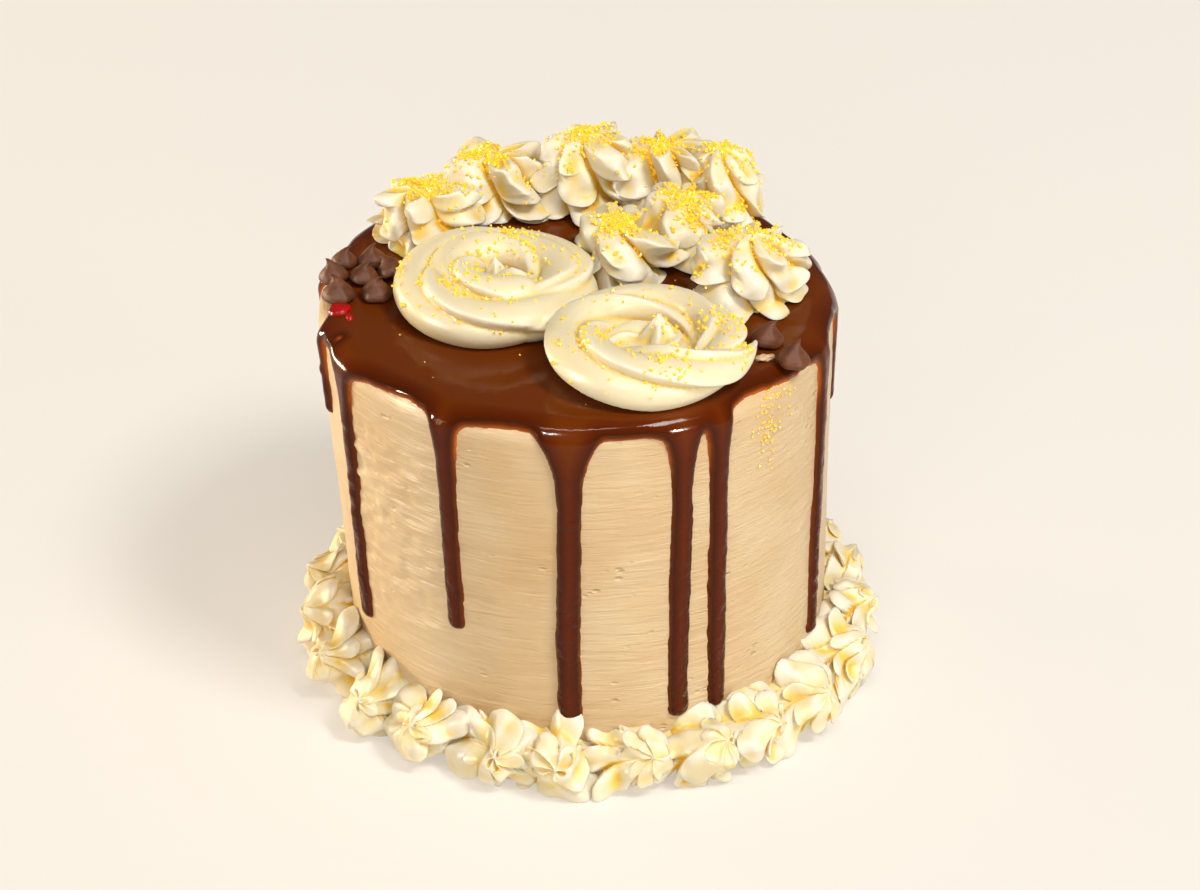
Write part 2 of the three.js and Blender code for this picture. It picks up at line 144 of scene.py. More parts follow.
# The drips out of sight stand between two angles, each moved and sized by chance.
BACK_DRIP_COUNT = 9
BACK_DRIP_SEED = 41
BACK_FROM = 96
BACK_SPAN = 163
BACK_STRAY = 9
BACK_DRIFT = 4
BACK_TIPS = (24, 96)
BACK_NECKS = (8, 13)
BACK_STEMS = (5.6, 7)
BACK_FEET = (5.6, 6.6)
STREAM_FACTOR = 1664525
STREAM_STEP = 1013904223
STREAM_RANGE = 2 ** 32


# -------- numbers and places
def seeded_stream(seed):
    """The same draws as the solids' own rule, so that the hidden drips match them."""
    state = seed
    while True:
        state = (state * STREAM_FACTOR + STREAM_STEP) % STREAM_RANGE
        yield state / STREAM_RANGE


def mix(a, b, t):
    return a + (b - a) * t


def smooth(a, b, x):
    t = np.clip((x - a) / (b - a), 0, 1)
    return t * t * (3 - 2 * t)


def back_drips():
    draw = seeded_stream(BACK_DRIP_SEED)
    drips = []
    for i in range(BACK_DRIP_COUNT):
        at = BACK_FROM + i * BACK_SPAN / (BACK_DRIP_COUNT - 1) + (next(draw) - 0.5) * BACK_STRAY
        drift = (next(draw) - 0.5) * BACK_DRIFT
        tip = mix(*BACK_TIPS, next(draw))
        neck = mix(*BACK_NECKS, next(draw))
        stem = mix(*BACK_STEMS, next(draw))
        foot = mix(*BACK_FEET, next(draw))
        drips.append(dict(at=at, drift=drift, tip=tip, neck=neck, stem=stem, foot=foot))
    return drips


DRIPS = FRONT_DRIPS + back_drips()


def lean(z):
    return BODY_LEAN * z / BODY_HEIGHT


def wall_radius(z):
    straight = BODY_HEIGHT - CORNER_R
    return mix(BODY_FOOT_R, BODY_TOP_R, np.minimum(z, straight) / straight)


def outline(s, lift):
    """Radius and height on the cake at a distance s past the flat top, raised by lift."""
    s, lift = np.broadcast_arrays(np.asarray(s, float), np.asarray(lift, float))
    turn = np.clip(s / CORNER_S, 0, 1) * math.pi / 2
    reach = CORNER_R + lift
    below = np.maximum(s - CORNER_S, 0)
    radius = BODY_TOP_R - CORNER_R + np.minimum(s, 0) + reach * np.sin(turn)
    z = BODY_HEIGHT - CORNER_R + reach * np.cos(turn) - below
    radius = np.where(below > 0, wall_radius(z) + lift, radius)
    return radius, z


def around(radius, degrees, z):
    angle = np.radians(degrees)
    return np.stack([lean(z) + radius * np.sin(angle), -radius * np.cos(angle), z], -1)


def turned(degrees, at):
    """The angle from `at`, from -180 to 180."""
    return (degrees - at + 540) % 360 - 180


def soft_noise(u, v, seed, across=64, along=64):
    """Smooth value noise from -1 to 1, repeating after `across` cells of u and `along` cells of v."""
    grid = np.random.default_rng(seed).random((across, along))
    iu, iv = np.floor(u).astype(int), np.floor(v).astype(int)
    fu, fv = smooth(0, 1, u - iu), smooth(0, 1, v - iv)
    a, b = grid[iu % across, iv % along], grid[(iu + 1) % across, iv % along]
    c, d = grid[iu % across, (iv + 1) % along], grid[(iu + 1) % across, (iv + 1) % along]
    return 2 * mix(mix(a, b, fu), mix(c, d, fu), fv) - 1


def ring_noise(degrees, v, cells, seed):
    """The same noise round the cake, `cells` cells to the full turn."""
    return soft_noise(np.asarray(degrees) / 360 * cells, v, seed, across=cells)


def relief(degrees, along, layers):
    """Layers of noise added up, each with its wave along the wall, its cells round it and its height."""
    return sum(ring_noise(degrees, along / layer["wave"], layer["cells"], layer["seed"]) * layer["height"]
               for layer in layers)


# -------- meshes
def placed(name, mesh, material, smooth_shade=True):
    """An object of the mesh, with its material."""
    mesh.polygons.foreach_set("use_smooth", [smooth_shade] * len(mesh.polygons))
    mesh.materials.clear()
    mesh.materials.append(material)
    obj = bpy.data.objects.new(name, mesh)
    bpy.context.scene.collection.objects.link(obj)
    return obj


def mesh_object(name, points, faces, material, smooth_shade=True):
    mesh = bpy.data.meshes.new(name)
    mesh.from_pydata((np.asarray(points) * MM).tolist(), [], [list(f) for f in faces])
    mesh.update()
    return placed(name, mesh, material, smooth_shade)


def grid_faces(rows, columns):
    """Faces over rings of points, each ring closed."""
    faces = []
    for r in range(rows - 1):
        for c in range(columns):
            d = (c + 1) % columns
            faces.append((r * columns + c, r * columns + d, (r + 1) * columns + d, (r + 1) * columns + c))
    return faces


def tube(rings, first, last):
    """Points and faces of a closed skin over equal rings, fanned to a point at each end."""
    rows, columns = rings.shape[:2]
    points = np.concatenate([rings.reshape(-1, 3), [first], [last]])
    faces = grid_faces(rows, columns)
    count = rows * columns
    for c in range(columns):
        d = (c + 1) % columns
        faces.append((count, d, c))
        faces.append((count + 1, (rows - 1) * columns + c, (rows - 1) * columns + d))
    return points, faces


def join_parts(parts):
    points, faces, offset = [], [], 0
    for p, f in parts:
        points.append(p)
        faces += [tuple(i + offset for i in face) for face in f]
        offset += len(p)
    return np.concatenate(points), faces


def remeshed(name, parts, voxel, smoothing, material):
    """One skin round overlapping closed parts."""
    points, faces = join_parts(parts)
    rough = mesh_object(name + "_rough", points, faces, material)
    remesh = rough.modifiers.new("remesh", "REMESH")
    remesh.mode = "VOXEL"
    remesh.voxel_size = voxel * MM
    soften = rough.modifiers.new("soften", "SMOOTH")
    soften.factor = 0.5
    soften.iterations = smoothing
    bpy.context.view_layer.update()
    graph = bpy.context.evaluated_depsgraph_get()
    mesh = bpy.data.meshes.new_from_object(rough.evaluated_get(graph))
    mesh.name = name
    bpy.data.objects.remove(rough)
    return placed(name, mesh, material)


def mesh_arrays(obj):
    """Points in millimetres, normals and edges."""
    mesh = obj.data
    points = np.zeros(len(mesh.vertices) * 3, np.float32)
    mesh.vertices.foreach_get("co", points)
    normals = np.zeros(len(mesh.vertices) * 3, np.float32)
    mesh.vertices.foreach_get("normal", normals)
    edges = np.zeros(len(mesh.edges) * 2, int)
    mesh.edges.foreach_get("vertices", edges)
    return points.reshape(-1, 3) / MM, normals.reshape(-1, 3), edges.reshape(-1, 2)


# A point's hollow is how far it lies below the same mesh smoothed out. It sets the cream's painted groove
# shade, and where sugar gathers.
HOLLOW_REACH = 14  # rounds of smoothing
HOLLOW_FLAT = 0.4  # the value on flat ground
HOLLOW_DEPTH = 0.8  # this deep, the value is higher by the gain
HOLLOW_GAIN = 0.6
SMOOTHING_KEPT = 0.3
SMOOTHING_PULLED = 0.7


def hollowness(points, normals, edges, reach=HOLLOW_REACH, flat=HOLLOW_FLAT):
    """0 on a ridge, `flat` on flat ground and 1 at the bottom of a groove."""
    a, b = edges[:, 0], edges[:, 1]
    count = np.bincount(a, minlength=len(points)) + np.bincount(b, minlength=len(points))
    eased = points.copy()
    for _ in range(reach):
        for axis in range(3):
            value = eased[:, axis]
            total = np.bincount(a, value[b], len(points)) + np.bincount(b, value[a], len(points))
            eased[:, axis] = SMOOTHING_KEPT * value + SMOOTHING_PULLED * total / count
    depth = ((eased - points) * normals).sum(1)
    return np.clip(flat + HOLLOW_GAIN * depth / HOLLOW_DEPTH, 0, 1)


def store(obj, name, values):
    """Keeps one value a point on the mesh, for its material to read."""
    layer = obj.data.attributes.new(name, "FLOAT", "POINT")
    layer.data.foreach_set("value", values.astype(np.float32))


def with_painted_groove_shade(obj, reach=HOLLOW_REACH, flat=HOLLOW_FLAT):
    """Keeps how deep each point lies in a groove, for the painted shade in the cream's colour."""
    store(obj, "hollow", hollowness(*mesh_arrays(obj), reach, flat))
    return obj


# -------- materials
NOISE_LOW = 0.3  # nearly all values of a noise texture lie between these two
NOISE_HIGH = 0.7


class Shader:
    """A node material built a node at a time."""

    def __init__(self, name):
        self.material = bpy.data.materials.new(name)
        self.material.use_nodes = True
        self.tree = self.material.node_tree
        self.surface = self.tree.nodes["Principled BSDF"]
        self.place = self.node("ShaderNodeTexCoord").outputs["Object"]

    def node(self, kind, links=None, **settings):
        """A node; in_NAME or in_NUMBER sets that input, and any other name sets a property."""
        node = self.tree.nodes.new(kind)
        for key, value in settings.items():
            if key.startswith("in_"):
                slot = key[3:]
                node.inputs[int(slot) if slot.isdigit() else slot.replace("_", " ")].default_value = value
            else:
                setattr(node, key, value)
        for slot, source in (links or {}).items():
            self.tree.links.new(source, node.inputs[slot])
        return node

    def set(self, **values):
        for key, value in values.items():
            self.surface.inputs[key.replace("_", " ")].default_value = value

    def link(self, socket, source):
        self.tree.links.new(source, self.surface.inputs[socket])

    def stored(self, name):
        """A value kept on the mesh."""
        return self.node("ShaderNodeAttribute", attribute_name=name).outputs["Fac"]

    def axis(self, name):
        return self.node("ShaderNodeSeparateXYZ", {"Vector": self.place}).outputs[name]

    def scaled(self, scale):
        return self.node("ShaderNodeMapping", {"Vector": self.place}, in_Scale=scale).outputs[0]

    def noise(self, scale, detail, place=None, **settings):
        return self.node("ShaderNodeTexNoise", {"Vector": place or self.place}, in_Scale=scale,
                         in_Detail=detail, **settings).outputs["Fac"]

    def spread(self, value, low, high, to_low=0.0, to_high=1.0):
        """The stretch from low to high carried over to another one, and held at its ends."""
        return self.node("ShaderNodeMapRange", {"Value": value}, in_1=low, in_2=high, in_3=to_low,
                         in_4=to_high).outputs[0]

    def product(self, a, b):
        return self.node("ShaderNodeMath", {0: a, 1: b}, operation="MULTIPLY").outputs[0]

    def ramp(self, source, stops):
        node = self.node("ShaderNodeValToRGB", {"Fac": source})
        ramp = node.color_ramp
        while len(ramp.elements) < len(stops):
            ramp.elements.new(0.5)
        for element, (place, colour) in zip(ramp.elements, stops):
            element.position = place
            element.color = (*colour, 1)
        return node.outputs["Color"]

    def between(self, noise, dark, light):
        """A colour from dark to light by a noise texture."""
        return self.ramp(noise, [(NOISE_LOW, dark), (NOISE_HIGH, light)])

    def tinted(self, colour, noise, tint):
        """The colour, multiplied by a tint where the noise is high."""
        return self.node("ShaderNodeMixRGB", {"Fac": noise, "Color1": colour}, blend_type="MULTIPLY",
                         in_Color2=(*tint, 1)).outputs[0]

    def roughness(self, noise, low, high):
        self.link("Roughness", self.spread(noise, NOISE_LOW, NOISE_HIGH, low, high))

    def bump(self, height, distance, strength=1.0, normal=None):
        links = {"Height": height}
        if normal:
            links["Normal"] = normal
        node = self.node("ShaderNodeBump", links, in_Strength=strength, in_Distance=distance)
        return node.outputs["Normal"]


def frosting_material():
    """Buttercream with fine level scraper marks and patches of small pits."""
    s = Shader("frosting")
    marks = s.noise(620.0, 5.0, s.scaled((0.1, 0.1, 1.0)), in_Roughness=0.65, in_Distortion=0.6)
    squashed = s.scaled((0.55, 0.55, 1.0))
    cells = s.node("ShaderNodeTexVoronoi", {"Vector": squashed}, in_Scale=330.0, feature="F1")
    pit = s.spread(cells.outputs["Distance"], 0.0, 0.28, -1.0, 0.0)
    pitted = s.spread(s.noise(120.0, 2.0, squashed), 0.58, 0.66)
    patches = s.between(s.noise(28.0, 3.0), FROSTING_DARK, FROSTING_LIGHT)
    s.link("Base Color", s.tinted(patches, marks, FROSTING_STREAK))
    s.roughness(marks, 0.3, 0.46)
    s.link("Normal", s.bump(s.product(pit, pitted), 0.8 * MM, normal=s.bump(marks, 0.6 * MM)))
    s.set(Subsurface_Weight=0.05, Subsurface_Radius=(0.6, 0.35, 0.15), Subsurface_Scale=3 * MM,
          Specular_IOR_Level=0.6)
    return s.material


def ganache_material():
    """Glossy chocolate, coloured by its thickness and uneven low on the drips."""
    s = Shader("ganache")
    cloud = s.noise(45.0, 4.0)
    s.link("Base Color", s.tinted(s.ramp(s.stored("depth"), GANACHE_STOPS), cloud, GANACHE_CLOUD))
    s.roughness(cloud, 0.07, 0.14)
    low_down = s.spread(s.axis("Z"), 30 * MM, 125 * MM, 1.0, 0.05)
    s.link("Normal", s.bump(s.product(s.noise(330.0, 2.0), low_down), 1.2 * MM))
    s.set(Specular_IOR_Level=0.13)
    return s.material


def cream_material():
    """Soft cream, with painted shade: yellow in its grooves."""
    s = Shader("cream")
    # Painted shade: the ramp turns the cream yellow by how deep each point lies in a groove.
    s.link("Base Color", s.tinted(s.ramp(s.stored("hollow"), CREAM_GROOVE_SHADE_STOPS), s.noise(60.0, 3.0), CREAM_CLOUD))
    fine = s.noise(700.0, 3.0)
    s.roughness(fine, 0.34, 0.46)
    s.link("Normal", s.bump(fine, 0.1 * MM, 0.5))
    s.set(Subsurface_Weight=0.4, Subsurface_Radius=(1.0, 0.7, 0.25), Subsurface_Scale=2.2 * MM,
          Specular_IOR_Level=0.4)
    return s.material


def chip_material():
    s = Shader("chip")
    cloud = s.noise(220.0, 5.0, in_Roughness=0.65)
    s.link("Base Color", s.between(cloud, CHIP_DARK, CHIP_LIGHT))
    s.roughness(cloud, 0.42, 0.56)
    s.link("Normal", s.bump(s.noise(1400.0, 3.0), 0.1 * MM, 0.6))
    s.set(Specular_IOR_Level=0.22)
    return s.material


def sugar_material():
    s = Shader("gold_sugar")
    s.link("Base Color", s.between(s.noise(900.0, 2.0), SUGAR_DARK, SUGAR_LIGHT))
    # The emission is painted light that brightens the grains' shaded sides.
    s.set(Roughness=0.28, Specular_IOR_Level=0.5, Subsurface_Weight=0.3, Subsurface_Radius=(1.0, 0.7, 0.2),
          Subsurface_Scale=1.2 * MM, Emission_Color=(*SUGAR_PAINTED_GLOW, 1), Emission_Strength=0.16)
    return s.material


def jelly_material():
    s = Shader("jelly")
    s.link("Base Color", s.between(s.noise(300.0, 2.0), JELLY_DARK, JELLY_LIGHT))
    s.set(Roughness=0.08)
    return s.material


def floor_material():
    """A matt floor that gives off a little light, so that it stays even and pale."""
    s = Shader("floor")
    far = s.spread(s.axis("Y"), -300 * MM, 1200 * MM)
    s.link("Base Color", s.ramp(far, [(0.0, FLOOR_NEAR), (1.0, FLOOR_FAR)]))
    s.set(Roughness=0.9, Specular_IOR_Level=0.1, Emission_Color=(*FLOOR_GLOW, 1), Emission_Strength=0.44)
    return s.material


FROSTING = frosting_material()
JELLY = jelly_material()
GANACHE = ganache_material()
CREAM = cream_material()
CHIP = chip_material()
SUGAR = sugar_material()

# -------- frosted body
BODY_COLUMNS = 540
WALL_ROWS = 108
CORNER_ROWS = 9
ROWS_UNDER_GANACHE = [-3, -25, -50]
FOOT_TUCK = 1.2  # the wall turns in by this much at the ground
FOOT_TUCK_HEIGHT = 0.8
SCRAPER_MARKS = [dict(wave=1.3, cells=46, seed=3, height=0.09),
                 dict(wave=3.1, cells=29, seed=4, height=0.1)]
WALL_WAVES = [dict(wave=24, cells=16, seed=5, height=0.28),
              dict(wave=9, cells=52, seed=6, height=0.1)]
# At the right the scraper marks slant upwards between these angles.
LEVEL_SLANT = 0.05
STEEP_SLANT = 0.6
SLANT_FROM = (34, 52)
SLANT_TO = (76, 92)
# At the left a patch of the wall is torn, between these angles and distances below the top.
TORN_ACROSS = [dict(wave=2.0, cells=150, seed=7, height=0.5)]
TORN_LEVEL = [dict(wave=3.4, cells=80, seed=8, height=0.34)]
TORN_FROM = (-66, -58)
TORN_TO = (-44, -24)
TORN_TOP = (12, 30)
TORN_BOTTOM = (78, 104)
# A shallow seam runs round the lower wall and sways a little.
SEAM_HEIGHT = 27
SEAM_SWAY = 1.5
SEAM_DEPTH = 0.2
SEAM_WIDTH = 0.7
RELIEF_FROM = (-3, 6)  # the relief fades out over the corner, under the ganache


def frosted_body():
    wall = CORNER_S + np.linspace(BODY_HEIGHT - CORNER_R - FOOT_TUCK_HEIGHT, 0, WALL_ROWS)
    s = np.concatenate([wall, np.linspace(CORNER_S, 0, CORNER_ROWS)[1:], ROWS_UNDER_GANACHE])
    theta = np.arange(BODY_COLUMNS) * 360 / BODY_COLUMNS
    S, T = np.meshgrid(s, theta, indexing="ij")
    facing = turned(T, 0)
    slant = LEVEL_SLANT + STEEP_SLANT * smooth(*SLANT_FROM, facing) * (1 - smooth(*SLANT_TO, facing))
    climb = np.cumsum(slant, axis=1) * math.radians(360 / BODY_COLUMNS) * BODY_TOP_R
    torn = smooth(*TORN_FROM, facing) * (1 - smooth(*TORN_TO, facing))
    torn = torn * smooth(*TORN_TOP, S) * (1 - smooth(*TORN_BOTTOM, S))
    waves = relief(T, S, WALL_WAVES) + torn * (relief(T, S - climb, TORN_ACROSS) + relief(T, S, TORN_LEVEL))
    off_seam = outline(S, 0)[1] - SEAM_HEIGHT - SEAM_SWAY * np.sin(np.radians(T * 2))
    seam = SEAM_DEPTH * np.exp(-(off_seam / SEAM_WIDTH) ** 2)
    lift = (relief(T, S + climb, SCRAPER_MARKS) + waves - seam) * smooth(*RELIEF_FROM, S)
    radius, z = outline(S, lift)
    foot = around(BODY_FOOT_R - FOOT_TUCK, theta, np.zeros(BODY_COLUMNS))
    rings = np.concatenate([foot[None], around(radius, T, z)])
    points, faces = tube(rings, [0, 0, 0], [lean(BODY_HEIGHT), 0, BODY_HEIGHT])
    return mesh_object("frosted_body", points, faces, FROSTING)


# -------- ganache
POOL_REACH = 5.6  # how far past the flat top the pool runs, along the surface
POOL_WAVE = 1.2
POOL_RIPPLE = 0.9
NECK_SHARE = 0.32  # share of a drip's neck that the pool reaches out by above it
NECK_ANGLE = 5.5  # and this wide, in degrees
BARE_RIM_AT = -92  # here the pool stops short of the corner
BARE_RIM_REACH = 0.4
BARE_RIM_ANGLE = 13

DRIP_START = 2.0  # s where a drip begins, inside the pool
STEM_START = 32  # s where a drip has narrowed from its neck to its stem
DRIP_UNEVEN = 0.16
DRIP_UNEVEN_WAVE = 9

SHEET_COLUMNS = 880
# The sheet's rows by s: over the flat top, round the rim and down the wall.
SHEET_TOP = np.linspace(-70, -8, 13)
SHEET_RIM = np.arange(-6, 14, 0.55)
SHEET_WALL = np.arange(14, 113, 0.75)
SHEET_THICK = 1.95
BEAD = 3.0  # the edge rounds up to its full thickness over this width
MELD = 2.2  # how softly a drip runs out of the pool
RAGGED_EDGE = [dict(wave=6, cells=110, seed=11, height=0.3),
               dict(wave=2, cells=260, seed=13, height=0.12)]
SLOW_SWELL = [dict(wave=7, cells=64, seed=12, height=0.09)]
DRIP_RIDGES = [dict(wave=2.6, cells=60, seed=15, height=0.9)]
RIDGE_PATCHES = [dict(wave=15, cells=40, seed=16, height=1)]
RIDGES_FROM = (10, 20)
SINK_SLOPE = 0.9  # outside its edge the sheet dives into the frosting
SINK = -0.8
SHEET_MARGIN = -1.2  # and ends here
COLOUR_DEPTH = 7  # this far inside the edge the colour is that of deep ganache
DEEPER_FROM = (118, 106)  # heights between which the drips turn deeper in colour
DEEPER_BY = 0.1
# One spot of the rim at the left is so thin that it shows as caramel.
THIN_AT = 292
THIN_S = 2.5
THIN_ANGLE = 2.2
THIN_REACH = 2.6
THIN_SHARE = 0.95


def pool_reach(degrees):
    angle = np.radians(degrees)
    reach = POOL_REACH + POOL_WAVE * np.sin(5 * angle + 0.7) + POOL_RIPPLE * np.sin(9 * angle - 1.1)
    for drip in DRIPS:
        off = turned(degrees, drip["at"])
        reach = reach + drip["neck"] * NECK_SHARE * np.exp(-((off / NECK_ANGLE) ** 2))
    bare = np.exp(-((turned(degrees, BARE_RIM_AT) / BARE_RIM_ANGLE) ** 2))
    return mix(reach, BARE_RIM_REACH, bare)


def drip_inside(drip, S, T):
    """Signed distance into one drip, in millimetres, positive inside."""
    end = FOOT_S - drip["tip"]
    neck, stem, foot = drip["neck"], drip["stem"], drip["foot"]
    stations = [DRIP_START, 7, 10, 15, 21, STEM_START, mix(STEM_START, end, 0.6), end]
    widths = [neck * 1.2, neck * 1.1, mix(neck, stem, 0.12), mix(neck, stem, 0.5), mix(neck, stem, 0.86),
              stem, mix(stem, foot, 0.6), foot]
    uneven = DRIP_UNEVEN * soft_noise(S / DRIP_UNEVEN_WAVE, 0 * S, int(drip["tip"] * 10))
    half = np.interp(S, stations, widths) / 2 + uneven
    centre = drip["at"] + drip["drift"] * smooth(DRIP_START, end, S)
    across = np.radians(turned(T, centre)) * outline(S, 0)[0]
    past = np.maximum(S - (end - foot / 2), 0)
    return half - np.hypot(across, past)


def soft_max(a, b, k):
    h = np.clip(0.5 + 0.5 * (a - b) / k, 0, 1)
    return mix(b, a, h) + k * h * (1 - h)


def sheet_faces(keep):
    """Faces where all four corners are kept."""
    rows, columns = keep.shape
    faces = []
    for r in range(rows - 1):
        cell = keep[r] & keep[r + 1]
        cell = cell & np.roll(cell, -1)
        for c in np.nonzero(cell)[0]:
            d = (c + 1) % columns
            faces.append((r * columns + d, r * columns + c, (r + 1) * columns + c, (r + 1) * columns + d))
    return faces


def ganache_sheet():
    theta = np.arange(SHEET_COLUMNS) * 360 / SHEET_COLUMNS
    S, T = np.meshgrid(np.concatenate([SHEET_TOP, SHEET_RIM, SHEET_WALL]), theta, indexing="ij")
    slope = np.gradient(pool_reach(theta), np.radians(360 / SHEET_COLUMNS) * BODY_TOP_R)
    inside = (pool_reach(T) - S) / np.hypot(1, slope)[None, :]
    for drip in DRIPS:
        inside = soft_max(inside, drip_inside(drip, S, T), MELD)
    inside = inside + relief(T, S, RAGGED_EDGE)
    d = np.clip(inside / BEAD, 0, 1)
    ridges = relief(T, S, DRIP_RIDGES) * relief(T, S, RIDGE_PATCHES) * smooth(*RIDGES_FROM, S)
    height = SHEET_THICK * np.sqrt(1 - (1 - d) ** 2) + (relief(T, S, SLOW_SWELL) + ridges) * d
    height = np.where(inside < 0, np.maximum(inside * SINK_SLOPE, SINK), height)
    radius, z = outline(S, height)
    points = around(radius, T, z).reshape(-1, 3)
    faces = sheet_faces(inside > SHEET_MARGIN)
    top = len(points)
    points = np.concatenate([points, [[lean(BODY_HEIGHT), 0, GANACHE_TOP]]])
    faces += [(top, c, (c + 1) % SHEET_COLUMNS) for c in range(SHEET_COLUMNS)]
    used = np.zeros(len(points), bool)
    used[[i for f in faces for i in f]] = True
    index = np.cumsum(used) - 1
    obj = mesh_object("ganache_sheet", points[used], [tuple(index[i] for i in f) for f in faces], GANACHE)
    thin = np.exp(-((T - THIN_AT) / THIN_ANGLE) ** 2 - ((S - THIN_S) / THIN_REACH) ** 2)
    depth = inside / COLOUR_DEPTH * (1 - THIN_SHARE * thin) + DEEPER_BY * smooth(*DEEPER_FROM, z)
    store(obj, "depth", np.concatenate([np.clip(depth, 0, 1).ravel(), [1]])[used])
    return obj


# -------- small swirls and bursts
LOBE_WARP = 0.28  # the lobes stand unevenly by these, in radians
LOBE_WARP_TWICE = 0.16
LOBE_WARP_CLIMB = 1.5
LOBE_SHARE = 0.9  # share of its pitch that a lobe fills
LOBE_SQUARENESS = 2.6
FIN_ROUNDNESS = 0.9
FIN_SHARE = 0.8
LOBES_LATE = (-0.4, 0.4)  # each lobe's folds sit this much higher or lower, in folds
LOBES_LONG = (0.84, 1.1)
BOW = 0.35  # the middle of a fold hangs lower than its sides, in folds
FOLD_FRONT = 0.2  # share of a fold taken up by its rounded front
FOLD_DROOP = 0.13  # against the star's width
FOLD_TAIL = 0.95  # a fold thins by this towards its back
DIP_FROM = 0.84  # above this share of its height the tip may be pushed in
RUFFLE_WAVE = 0.52  # against the star's width
RUFFLE_ROUND = 2.4
RUFFLE_CLIMB = 1.3
RIPPLE_SHARE = 0.4  # finer ripples on each ruffle
RIPPLE_RATE = 2.3
RUFFLE_TURNS = (0, 2.1, 4.2)  # the three directions of the ruffles, in radians
RUFFLE_OUT = 0.5
RUFFLE_UP = 0.35
LEAST_R = 0.25

SWIRL_OUTLINE = ([0, 0.03, 0.1, 0.22, 0.4, 0.55, 0.7, 0.84, 0.94, 1],
                 [0.86, 0.96, 1, 1, 0.98, 0.93, 0.82, 0.64, 0.42, 0.1])
BURST_OUTLINE = ([0, 0.06, 0.2, 0.35, 0.5, 0.66, 0.8, 0.92, 1],
                 [0.8, 0.96, 1, 0.95, 0.84, 0.67, 0.46, 0.24, 0.05])
SWIRL_STYLE = dict(profile=SWIRL_OUTLINE, rows=92, sections=140, grooves=(0.34, 0.66), fold=0.42,
                   ruffle=2.3)
BURST_STYLE = dict(profile=BURST_OUTLINE, rows=62, sections=98, grooves=(0.4, 0.46), fold=0.46,
                   ruffle=2.4)


def star_lobes(T, P, lobes, twist, draw):
    """The lobe that each point is on, and its distance from the lobe's middle, 1 at the groove."""
    warp = LOBE_WARP * np.sin(P + draw.uniform(0, TAU))
    warp = warp + LOBE_WARP_TWICE * np.sin(2 * P + draw.uniform(0, TAU) + LOBE_WARP_CLIMB * T)
    turn = (P + warp + twist * T + draw.uniform(0, TAU)) * lobes / TAU
    return np.floor(turn).astype(int) % lobes, np.abs(2 * (turn % 1) - 1)


def ruffled(size, along, T, P, wide, ruffle, draw):
    """Size and height of each point, pushed about by waves from three directions."""
    wave = wide * RUFFLE_WAVE
    for turn in RUFFLE_TURNS:
        phase = size * np.cos(P - turn) / wave * RUFFLE_ROUND + RUFFLE_CLIMB * along / wave
        phase = phase + draw.uniform(0, TAU)
        push = ruffle * (np.sin(phase) + RIPPLE_SHARE * np.sin(RIPPLE_RATE * phase + 1))
        size = size + RUFFLE_OUT * push * smooth(0, 0.1, T) * (1 - smooth(0.75, 1, T))
        along = along + RUFFLE_UP * push * smooth(0.1, 0.3, T) * (1 - smooth(0.7, 0.95, T))
    return np.maximum(size, LEAST_R), along


def drop_star(wide, high, bend, draw, lobes, tiers, fins, twist, dip, profile, rows, sections, grooves,
              fold, ruffle):
    """Cream squeezed from a still star nozzle, in lobes, and pulled off.

    Up to the share `fins` of its height it lies in `tiers` drooping folds, and above that its lobes
    are plain fins. T is the share of the height and P the angle round the upright.
    """
    phi = np.arange(sections) * TAU / sections
    T, P = np.meshgrid(np.linspace(0, 1, rows), phi, indexing="ij")
    lobe_no, off = star_lobes(T, P, lobes, twist, draw)
    arch = np.sqrt(np.clip(1 - (off / LOBE_SHARE) ** LOBE_SQUARENESS, 0, 1))
    fin = np.clip(1 - off / LOBE_SHARE, 0, 1) ** FIN_ROUNDNESS
    lobe = mix(arch, fin, FIN_SHARE * smooth(fins - 0.1, fins + 0.2, T))
    late = np.array([draw.uniform(*LOBES_LATE) for _ in range(lobes)])[lobe_no]
    long = np.array([draw.uniform(*LOBES_LONG) for _ in range(lobes)])[lobe_no]
    step = (tiers * T / fins + P / TAU + late + BOW * arch) % 1
    front = np.clip(step / FOLD_FRONT, 0, 1) ** 0.6
    back = 1 - FOLD_TAIL * np.clip((step - FOLD_FRONT) / (1 - FOLD_FRONT), 0, 1) ** 1.3
    tongue = np.minimum(front, back)
    folded = arch * (1 - smooth(fins - 0.05, fins + 0.15, T))
    size = wide * np.interp(T, *profile) * (1 - mix(*grooves, T) * (1 - lobe))
    size = size * (1 - fold * (1 - tongue) * folded) * mix(1, long, arch)
    droop = FOLD_DROOP * wide * tongue * folded * smooth(0, 0.15, T)
    along = T * high - droop - dip * smooth(DIP_FROM, 1, T)
    size, along = ruffled(size, along, T, P, wide, ruffle, draw)
    bent = T ** 1.6
    rings = np.stack([size * np.cos(P) + bend[0] * bent, size * np.sin(P) + bend[1] * bent, along], -1)
    return tube(rings, [0, 0, 0], [bend[0], bend[1], high - dip + 0.2])


SWIRL_SEED = 3
SWIRL_LOBES = (5, 6)
SWIRL_TIERS = (1.3, 1.6, 1.9)
SWIRL_FINS = (0.4, 0.5, 0.6)
SWIRL_TWIST = (0.9, 1.7)
SWIRL_DIPS = (0, 2.5, 4)
SWIRL_SWELL = 1.03  # the cream is this much wider than its solid
# Rounds of smoothing behind the swirls' painted groove shade.
SWIRL_HOLLOW_REACH = 26


def small_swirl(name, spec, draw):
    star = dict(lobes=draw.choice(SWIRL_LOBES), tiers=draw.choice(SWIRL_TIERS),
                fins=draw.choice(SWIRL_FINS), twist=draw.uniform(*SWIRL_TWIST), dip=draw.choice(SWIRL_DIPS))
    wide = spec["radius"] * SWIRL_SWELL
    points, faces = drop_star(wide, spec["height"], spec["lean"], draw, **star, **SWIRL_STYLE)
    points = points + np.array([spec["x"], spec["y"], PIPING_Z])
    return with_painted_groove_shade(mesh_object("cream_" + name, points, faces, CREAM), reach=SWIRL_HOLLOW_REACH)


